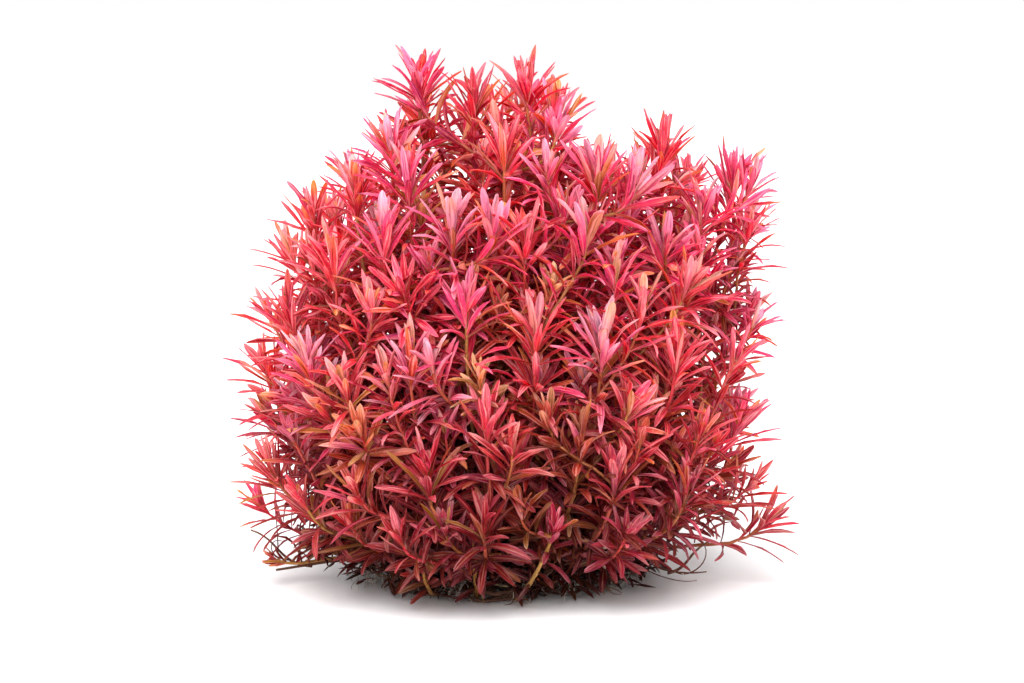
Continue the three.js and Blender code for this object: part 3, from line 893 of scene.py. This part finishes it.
def leaf_material():
    """A thin waxy blade: midrib, streaks along it, a pale rim and a wet shine, with light through it. Its
    pale streaks, specks and rim are partly paler tissue and partly painted highlight.
    """
    look = Look(bpy.data.materials.new("rotala_leaf"))
    tint = look.attribute("tint", "Color")
    sideways = look.math("ABSOLUTE", look.attribute("across"))
    streaks = look.noise(look.on_part(2.1, 1.3, 53.0), 1.0, 2.5, 0.55)
    mottle = look.noise(look.object_place(), 700.0, 3.0, 0.6)

    colour = look.mix(look.remap(streaks, 0.34, 0.52), look.shift(tint, 1.15, 0.48), tint)
    paleness = look.remap(look.node("SeparateColor", 0, {0: tint}), 0.25, 0.9, 0.20, 0.66)
    pale = look.mix(paleness, tint, solid_colour((1.0, 0.86, 0.85)))
    # Pale streaks and specks: partly the blade's own paler tissue, partly painted highlight
    colour = look.mix(look.remap(streaks, 0.54, 0.66, 0.0, 0.9), colour, pale)
    colour = look.mix(look.remap(mottle, 0.58, 0.80, 0.0, 0.5), colour, pale)
    colour = look.mix(look.remap(mottle, 0.44, 0.25, 0.0, 0.6), colour, look.shift(tint, 1.1, 0.55))
    rib = look.math("MULTIPLY", look.remap(sideways, 0.0, 0.26, 0.5, 0.0),
                    look.remap(look.attribute("along"), 0.0, 0.95, 1.0, 0.25))
    colour = look.mix(rib, colour, look.mix(0.55, tint, solid_colour((0.93, 0.66, 0.36))))
    # Pale rim: partly a paler margin, partly painted highlight
    colour = look.mix(look.remap(sideways, 0.70, 1.0, 0.0, 0.22), colour, pale)
    look.shade({
        "Base Color": colour, "Roughness": look.remap(mottle, 0.3, 0.7, 0.34, 0.58),
        "Specular IOR Level": 0.26, "Coat Weight": 0.04, "Coat Roughness": 0.2,
    })
    look.bump(look.math("ADD", look.math("MULTIPLY", streaks, 1.6), mottle), 0.55, 0.00022)
    through = look.node("BsdfTranslucent", 0, {"Color": look.shift(colour, 1.15, 1.3)})
    both = look.node("MixShader", 0, {0: LIGHT_THROUGH, 1: look.shader.outputs[0], 2: through})
    look.put(both, look.nodes["Material Output"].inputs["Surface"])
    return look.owner


def woody_material(name, roughness, scale):
    """Stems and roots: the tint in long streaks, with fine ridges."""
    look = Look(bpy.data.materials.new(name))
    tint = look.attribute("tint", "Color")
    ridges = look.noise(look.on_part(3.0, 5.0, 71.0), 1.6, 3.0, 0.6)
    grain = look.noise(look.object_place(), scale, 4.0, 0.65)
    colour = look.mix(look.remap(ridges, 0.35, 0.60), look.shift(tint, 1.05, 0.55), tint)
    pale = look.mix(0.4, tint, solid_colour((0.92, 0.78, 0.60)))
    colour = look.mix(look.remap(grain, 0.56, 0.74, 0.0, 0.6), colour, pale)
    look.shade({"Base Color": colour, "Roughness": look.remap(grain, 0.3, 0.7, roughness, roughness + 0.22)})
    look.bump(look.math("ADD", ridges, grain), 0.6, 0.0002)
    return look.owner


# Shoots

# Besides the main ones there are four kinds: their whorls, how thick their stems are, and how much older and
# wider the leaves of those inside the bush are
KINDS = {
    "side": {"whorls": CROWN_WHORLS, "thick": 0.85},
    "floor": {"whorls": LOOSE_WHORLS, "thick": 1.2},
    "inner": {"whorls": INNER_WHORLS, "thick": 0.7, "inside": {"older": 0.3, "width": 1.25}},
    "undergrowth": {"whorls": INNER_WHORLS[:5], "thick": 0.7, "inside": {"older": 0.4}},
}
LEAF_SLOT, STEM_SLOT = 0, 1


def nearest_crown(place, within):
    """The tone and size of the photographed crown nearest to a place, if it is within so many pixels."""
    x, y = pixel_of(place)
    apart = {name: hypot(x - crown[0], y - crown[1]) for name, crown in PHOTO_CROWNS.items()}
    name = min(apart, key=apart.get)
    return PHOTO_CROWNS[name][2:] if apart[name] < within else None


def likely_tone(place, rng):
    """The tone of the nearest photographed crown, for a shoot on the side that the photograph shows, or
    a likely one for its height."""
    if place[1] < SEEN_BEFORE and rng.random() < 0.8:
        crown = nearest_crown(place, CROWN_NEARBY)
        if crown:
            return crown[0]
    high = place[2] / DOME[2]
    low = max(0.0, 0.7 - high)
    chances = {
        "pink": 0.14 + 0.4 * high, "coral": 0.22, "crimson": 0.3 - 0.2 * high, "lilac": 0.06,
        "orange": 0.08 + 0.2 * low, "magenta": 0.12, "rust": 0.06 + 0.2 * low, "gold": 0.02 + 0.1 * low,
    }
    shares = np.array(list(chances.values()))
    return str(rng.choice(list(chances), p=shares / shares.sum()))


def side_stem(parent, crown, lengths, rng):
    """A side stem that leaves its parent well below the crown and bends up to it."""
    wanted = rng.uniform(*lengths)
    too_high = parent.points[:, 2] > crown[2] - 0.3 * wanted
    score = np.abs(parent.apart(crown) - wanted) + TOO_HIGH_SCORE * too_high
    start = parent.points[score.argmin()]
    high = np.clip(crown[2] / DOME[2], 0, 1)
    front = max(0.0, -crown[1] / DOME[1])
    beside = min(1.0, abs(crown[0]) / DOME[0])
    outward = unit(np.array([crown[0], crown[1] * (1 - 0.5 * min(1.0, front)), 0.0]))
    lean = LEAST_LEAN + MORE_HIGH_UP * high + MORE_IN_FRONT * front * (1 - 0.7 * beside)
    lean = radians(min(MOST_LEAN, lean + rng.normal(0, 6)))
    arrive = unit(outward * cos(lean) + UP * sin(lean))
    leave = unit(unit(crown - start) + 0.4 * arrive)
    return Stem(curve_points(start, leave, arrive, crown)), score.min()


class Plan:
    """The shoots besides the main ones. Each belongs to the main one that it grows out of, or that is
    nearest to it where it comes up from the floor."""

    def __init__(self, shoots):
        self.shoots = shoots
        self.rng = np.random.default_rng(77)
        self.taken = [shoot["stem"].points[-1] for shoot in shoots.values()]
        self.grown = []

    def is_clear(self, place, spacing):
        return min(norm(place - other) for other in self.taken) > spacing

    def grow(self, place, kind, tone, size, lengths):
        best = None
        for name, shoot in self.shoots.items():
            if shoot["stem"].apart(place).min() > FARTHEST_PARENT:
                continue
            stem, score = side_stem(shoot["stem"], place, lengths, self.rng)
            if best is None or score < best["score"]:
                best = {"owner": name, "stem": stem, "score": score}
        if best and best["score"] < WORST_SCORE:
            self.grown.append({**best, "kind": kind, "tone": tone, "size": size, "stem_colours": ()})
            self.taken.append(place)
            return True
        return False

    def grow_photographed(self):
        for x, y, tone, size in PHOTO_CROWNS.values():
            place = place_on_dome((x, y))
            if self.is_clear(place, CROWN_REACH):
                place = place + CROWN_STEP * max(0.0, size - 0.95) * unit(place)
                self.grow(place, "side", tone, size, SIDE_STEM_LENGTH)

    def grow_from_floor(self):
        for foot, crown, tone, size, *stem_colours in FLOOR_SHOOTS.values():
            start = place_on_floor(foot) + UP * (FLOOR_GAP + STEM_RADIUS)
            end = place_at_depth(crown, start[1] - FLOOR_SHOOT_LEAN)
            leave, arrive = unit(end - start - UP * FLATTER_AT_FOOT), unit(end - start + UP * STEEPER_AT_TIP)
            stem = Stem(curve_points(start, leave, arrive, end))
            owner = min(self.shoots, key=lambda name: self.shoots[name]["stem"].apart(end).min())
            self.grown.append({"owner": owner, "stem": stem, "kind": "floor", "tone": tone, "size": size,
                               "stem_colours": stem_colours})
            self.taken += [start, stem.at(stem.length / 2), end]

    def fill_undergrowth(self, mat):
        """Short shoots all over the root mat, in among the feet of the main ones."""
        for _ in range(UNDERGROWTH_TRIES):
            place = mat.at(self.rng.uniform(0, 2 * pi), self.rng.uniform(*UNDERGROWTH_REACH))
            place[2] = self.rng.uniform(*UNDERGROWTH_HEIGHTS)
            if self.is_clear(place, UNDERGROWTH_SPACING):
                tone = str(self.rng.choice(OLD_TONES))
                size = self.rng.uniform(*UNDERGROWTH_SIZES)
                self.grow(place, "undergrowth", tone, size, INNER_STEM_LENGTH)

    def fill(self, kind, tries, spacing, shares, most, lengths, sizes):
        made = 0
        for _ in range(tries):
            direction = unit(self.rng.normal(0, 1, 3) * [1, 1, 1.2] + [0, 0, 0.5])
            if direction[2] < 0.02:
                continue
            place = direction / dome_level(direction) * self.rng.uniform(*shares)
            pixel = pixel_of(place)
            if (place[2] < LOWEST_CROWN or not is_within(pixel, HEART_LIMIT)
                    or (is_thin(pixel) and self.rng.random() > THIN_CHANCE)
                    or not self.is_clear(place, spacing)):
                continue
            size = self.rng.uniform(*sizes) * (LOW_SIZE if place[2] < LOW_SHOOTS_BELOW else 1)
            made += self.grow(place, kind, likely_tone(place, self.rng), size, lengths)
            if made >= most:
                break


def plan_shoots(shoots):
    plan = Plan(shoots)
    plan.grow_photographed()
    plan.grow_from_floor()
    for layer in LAYERS:
        plan.fill(**layer)
    plan.fill_undergrowth(Mat())
    return plan.grown


def add_foot_roots(builder, foot, rng):
    """The few roots that spread over the floor from the foot of a shoot."""
    for _ in range(FOOT_ROOTS):
        outward = flat(rng.uniform(0, 2 * pi))
        end = foot + outward * rng.uniform(*FOOT_ROOT_LENGTHS)
        end[2] = FOOT_ROOT_HEIGHT
        start = foot + UP * rng.uniform(*FOOT_ROOT_STARTS)
        line = curve_points(start, outward, outward + rng.normal(0, 0.5, 3), end, FOOT_ROOT_POINTS)
        colour = blend(BROWN, TAN, rng.uniform(0.0, 0.8))
        builder.add_root(line, FOOT_ROOT_HEIGHT, 1, FOOT_ROOT_RADII, HAIR_SIDES, colour, rng, STEM_SLOT)


def add_side_shoot(builder, foliage, shoot):
    """A shoot of one of the four kinds. One inside the bush has plain leaves and no young ones."""
    kind, stem = KINDS[shoot["kind"]], shoot["stem"]
    if "inside" in kind:
        grow_whorls(foliage, shoot, kind["whorls"], is_plain=True, **kind["inside"])
    else:
        grow_whorls(foliage, shoot, whorls_for(stem, shoot["size"], kind["whorls"]))
        add_young_leaves(foliage, shoot)
    add_stem(builder, stem, foliage.rng, kind["thick"], *shoot["stem_colours"])
    if shoot["kind"] == "floor":
        add_foot_roots(builder, stem.points[0], foliage.rng)


def plan_main_shoot(name, stem, leaves, rng):
    """A main shoot, its whorls, and the leaves of its solid that it has, which a loose one lacks."""
    if name in LOOSE_SHOOTS:
        tone, size, leafy, bow = LOOSE_SHOOTS[name]
        share = stem.along / stem.length
        stem = Stem(stem.points + share[:, None] ** 2 * bow)
        whorls, leaves = [whorl for whorl in LOOSE_WHORLS if whorl[0] < leafy], []
    else:
        heart = stem.at(stem.length - HEART_BELOW_TIP)
        crown = nearest_crown(heart, SAME_CROWN) if heart[1] < 0 else None
        tone, size = crown or (likely_tone(stem.points[-1], rng), 1.0)
        size = max(1.0, size)
        whorls = whorls_for(stem, size, STEM_WHORLS)
    return {"stem": stem, "tone": tone, "size": size}, whorls, leaves


def build_shoot(name, solid, grown, rng, materials):
    builder, foliage = Builder(), Foliage(rng)
    shoot, whorls, leaves = plan_main_shoot(name, solid["stem"], solid["leaves"], rng)
    for leaf in leaves:
        add_solid_leaf(foliage, shoot, leaf)
    grow_whorls(foliage, shoot, whorls, bare=8.0)
    add_young_leaves(foliage, shoot)
    add_stem(builder, shoot["stem"], rng)
    for side in grown:
        add_side_shoot(builder, foliage, side)
    builder.add_foliage(foliage, LEAF_SLOT)
    piece = builder.make("leafy_" + name, materials)
    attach(piece, "root")
    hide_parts(name)


def build_shoots(leaf):
    materials = [leaf, woody_material("rotala_stem", 0.40, 900.0)]
    solids = read_solids()
    grown = plan_shoots(solids)
    for index, (name, solid) in enumerate(solids.items()):
        own = [side for side in grown if side["owner"] == name]
        build_shoot(name, solid, own, np.random.default_rng(1000 + index), materials)


# Root mat

ROOT_COUNT = 230
ROOT_COLOURS = [(0.30, 0.15, 0.11), (0.38, 0.22, 0.14), (0.18, 0.09, 0.08), (0.55, 0.38, 0.22),
                (0.78, 0.68, 0.54)]
ROOT_CHANCES = [0.34, 0.28, 0.26, 0.09, 0.03]
ROOT_POINTS = 12
# The least and the greatest radius of thin and thick roots, and the share of thin ones
THIN_ROOTS, THICK_ROOTS, THIN_ROOT_SHARE = (0.15, 0.42), (0.42, 0.8), 0.8
ROOT_STEPS = (1.8, 4.2)
LITTER_COUNT = 900
LITTER_REACH, LITTER_LENGTHS, LITTER_WIDTHS, LITTER_AGES = (0.55, 1.0), (6, 12), (0.6, 0.95), (0.5, 1.0)
ROOT_TUFTS = 26
TUFT_REACH = 0.88
HAIRS_IN_TUFT, HAIR_POINTS = 9, 7
HAIR_HEIGHT = 0.2
HAIR_STARTS, HAIR_RADII = (3.0, 8.0), (0.06, 0.12)
ROOT_SIDES, HAIR_SIDES = 5, 4
ROOT_SLOT, LITTER_SLOT = 0, 1
HAIR_COLOUR = np.array([0.86, 0.80, 0.74])

# Bare stems that trail and arch over the floor at the two ends of the bush: their line in pixels, how far
# back they lie and how thick they are
TRAILING_POINTS = 12
TRAILING_STEMS = {
    "left_low": ([(366, 556), (338, 560), (305, 566), (276, 570)], -8.0, 0.62),
    "left_arch": ([(312, 566), (293, 561), (278, 550), (268, 540), (250, 531)], -10.0, 0.5),
    "left_hook": ([(290, 560), (274, 553), (272, 544), (282, 541)], -11.0, 0.22),
    "left_straight": ([(278, 552), (277, 528), (274, 505)], -9.0, 0.22),
    "left_fine": ([(302, 562), (300, 540), (306, 520), (318, 500)], -14.0, 0.25),
    "right_low": ([(655, 566), (672, 572), (690, 574), (706, 571)], -18.0, 0.35),
    "right_arch": ([(668, 574), (684, 566), (694, 552), (712, 540)], -20.0, 0.5),
    "right_loop": ([(684, 574), (699, 568), (706, 553), (698, 538)], -21.0, 0.25),
    "right_fine": ([(650, 572), (676, 580), (697, 581)], -20.0, 0.2),
}


class Mat:
    """The box of the root mat's solid."""

    def __init__(self):
        low, high = (np.array(corner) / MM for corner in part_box("root_mat"))
        self.centre, self.half, self.top = (low + high) / 2, (high - low) / 2, high[2]

    def at(self, angle, reach):
        """The place at an angle, a share of the way out to the rim."""
        return self.centre + self.half * (reach * flat(angle))


def root_line(mat, rng):
    """A root that wanders over the mat and comes down to the floor towards its edge."""
    centre, half = mat.centre, mat.half
    angle = rng.uniform(0, 2 * pi)
    reach = sqrt(rng.uniform(0.02, 0.72))
    place = mat.at(angle, reach)
    place[2] = mat.top * (1 - 0.6 * reach * reach) * rng.uniform(0.3, 1.0)
    heading = angle + rng.normal(0, 1.1)
    step = rng.uniform(*ROOT_STEPS)
    line = []
    for _ in range(ROOT_POINTS):
        line.append(place.copy())
        heading += rng.normal(0, 0.35)
        place = place + step * np.array([cos(heading), sin(heading), rng.normal(-0.12, 0.22)])
        out = (place[:2] - centre[:2]) / half[:2]
        # The rim of the tangle goes in and out, and a root that reaches it turns away
        around = atan2(out[1], out[0])
        spread = np.hypot(*out) / (0.86 + 0.08 * sin(3 * around + 0.6) + 0.06 * sin(7 * around))
        if spread > 1.0:
            heading += 0.9
            place[:2] = centre[:2] + (place[:2] - centre[:2]) / spread
        place[2] = np.clip(place[2], 0.5, mat.top * (1 - 0.55 * min(1.0, spread) ** 2))
    return np.array(line)


def add_roots(builder, mat, rng):
    for _ in range(ROOT_COUNT):
        line = root_line(mat, rng)
        radius = rng.uniform(*(THIN_ROOTS if rng.random() < THIN_ROOT_SHARE else THICK_ROOTS))
        colour = np.array(ROOT_COLOURS[rng.choice(len(ROOT_COLOURS), p=ROOT_CHANCES)])
        colour *= rng.uniform(0.8, 1.2)
        builder.add_root(line, radius + 0.05, radius, (1, 0.45), ROOT_SIDES, colour, rng, ROOT_SLOT)


def add_hair_roots(builder, mat, rng):
    """Tufts of fine pale roots that hang from the rim of the mat to the floor."""
    for tuft in range(ROOT_TUFTS):
        angle = tuft * 2 * pi / ROOT_TUFTS + rng.normal(0, 0.08)
        heart = mat.at(angle, TUFT_REACH)
        for _ in range(HAIRS_IN_TUFT):
            start = heart + rng.normal(0, 1.8, 3)
            start[2] = rng.uniform(*HAIR_STARTS)
            heading = unit([*rng.normal(0, 1, 2), rng.uniform(-0.5, 0.3)])
            end = start + rng.normal(0, 2.6, 3)
            end[2] = FLOOR_GAP
            line = curve_points(start, heading, unit([*rng.normal(0, 1, 2), -0.6]), end, HAIR_POINTS)
            colour = HAIR_COLOUR * rng.uniform(0.6, 1.1)
            radius = rng.uniform(*HAIR_RADII)
            builder.add_root(line, HAIR_HEIGHT, radius, (1, 1), HAIR_SIDES, colour, rng, ROOT_SLOT)


def add_trailing_stems(builder, rng):
    for pixels, depth, radius in TRAILING_STEMS.values():
        places = np.array([place_at_depth(pixel, depth) for pixel in pixels])
        places[:, 1] += rng.normal(0, 0.8, len(places))
        degree = min(3, len(places) - 1)
        line = fitted_line(np.linspace(0, 1, len(places)), places, degree, TRAILING_POINTS)
        shares = np.linspace(0, 1, TRAILING_POINTS) * rng.uniform(0.1, 0.7)
        colours = blend(BROWN * 1.1, OLIVE * 0.7, shares)
        builder.add_root(line, radius + FLOOR_GAP, radius, (1, 0.6), STEM_SIDES, colours, rng, ROOT_SLOT)


def add_litter(builder, mat, rng):
    """Old leaves, brown and dark red, over the mat and round its edge."""
    foliage = Foliage(rng)
    for _ in range(LITTER_COUNT):
        angle = rng.uniform(0, 2 * pi)
        reach = rng.uniform(*LITTER_REACH)
        base = mat.at(angle, reach)
        base[2] = mat.top * (1 - 0.5 * reach ** 2) * rng.uniform(0.3, 1.4) + 1.0
        heading = angle + rng.normal(0, 1.0)
        direction = unit(flat(heading) + UP * rng.uniform(-0.4, 1.3))
        length, curl = rng.uniform(*LITTER_LENGTHS), rng.uniform(0.1, 0.8)
        tone = str(rng.choice(OLD_TONES))
        width, age = LEAF_WIDTH * rng.uniform(*LITTER_WIDTHS), rng.uniform(*LITTER_AGES)
        add_leaf(foliage, base, direction, square(UP, direction), length, width, curl, tone, age, True)
    builder.add_foliage(foliage, LITTER_SLOT)


def build_root_mat(leaf):
    rng = np.random.default_rng(5)
    mat, builder = Mat(), Builder()
    add_roots(builder, mat, rng)
    add_hair_roots(builder, mat, rng)
    add_trailing_stems(builder, rng)
    add_litter(builder, mat, rng)
    piece = builder.make("tangled_roots", [woody_material("rotala_roots", 0.6, 1100.0), leaf])
    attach(piece, "root")
    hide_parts("root_mat")


# Floor and light

FLOOR_SIDE = 16
FLOOR_COLOUR = (0.94, 0.935, 0.94, 1)

# The light that comes from all round: its strength at the horizon and above it, and between which heights
# of the sky it changes
HORIZON = (0.20, 0.34)
HORIZON_LIGHT, SKY_LIGHT = 1.0, 0.85


def make_floor():
    bpy.ops.mesh.primitive_plane_add(size=FLOOR_SIDE)
    floor = bpy.context.object
    floor.name = "floor"
    look = Look(bpy.data.materials.new("white_floor"))
    look.shade({"Base Color": FLOOR_COLOUR, "Roughness": 0.3, "Specular IOR Level": 0.12})
    floor.data.materials.append(look.owner)


def make_sun(name, direction, spread, strength):
    data = bpy.data.lights.new(name, "SUN")
    data.energy = strength
    data.angle = radians(spread)
    add_object(name, data).rotation_euler = Vector(direction).to_track_quat("Z", "Y").to_euler()


def make_light():
    world = Look(bpy.data.worlds.new("world"), "Background")
    height = world.node("SeparateXYZ", "Z", {0: world.node("TexCoord", "Generated", {})})
    strength = world.remap(height, *HORIZON, HORIZON_LIGHT, SKY_LIGHT)
    world.shade({"Color": (1, 1, 1, 1), "Strength": strength})
    bpy.context.scene.world = world.owner
    make_sun("soft_top_light", (-0.12, -0.60, 1.0), 55, 4.4)
    make_sun("soft_front_light", (-0.1, -1.0, 0.45), 40, 0.9)
    bpy.context.scene.view_settings.view_transform = "Standard"


make_camera()
make_floor()
make_light()
leaf_look = leaf_material()
build_root_mat(leaf_look)
build_shoots(leaf_look)
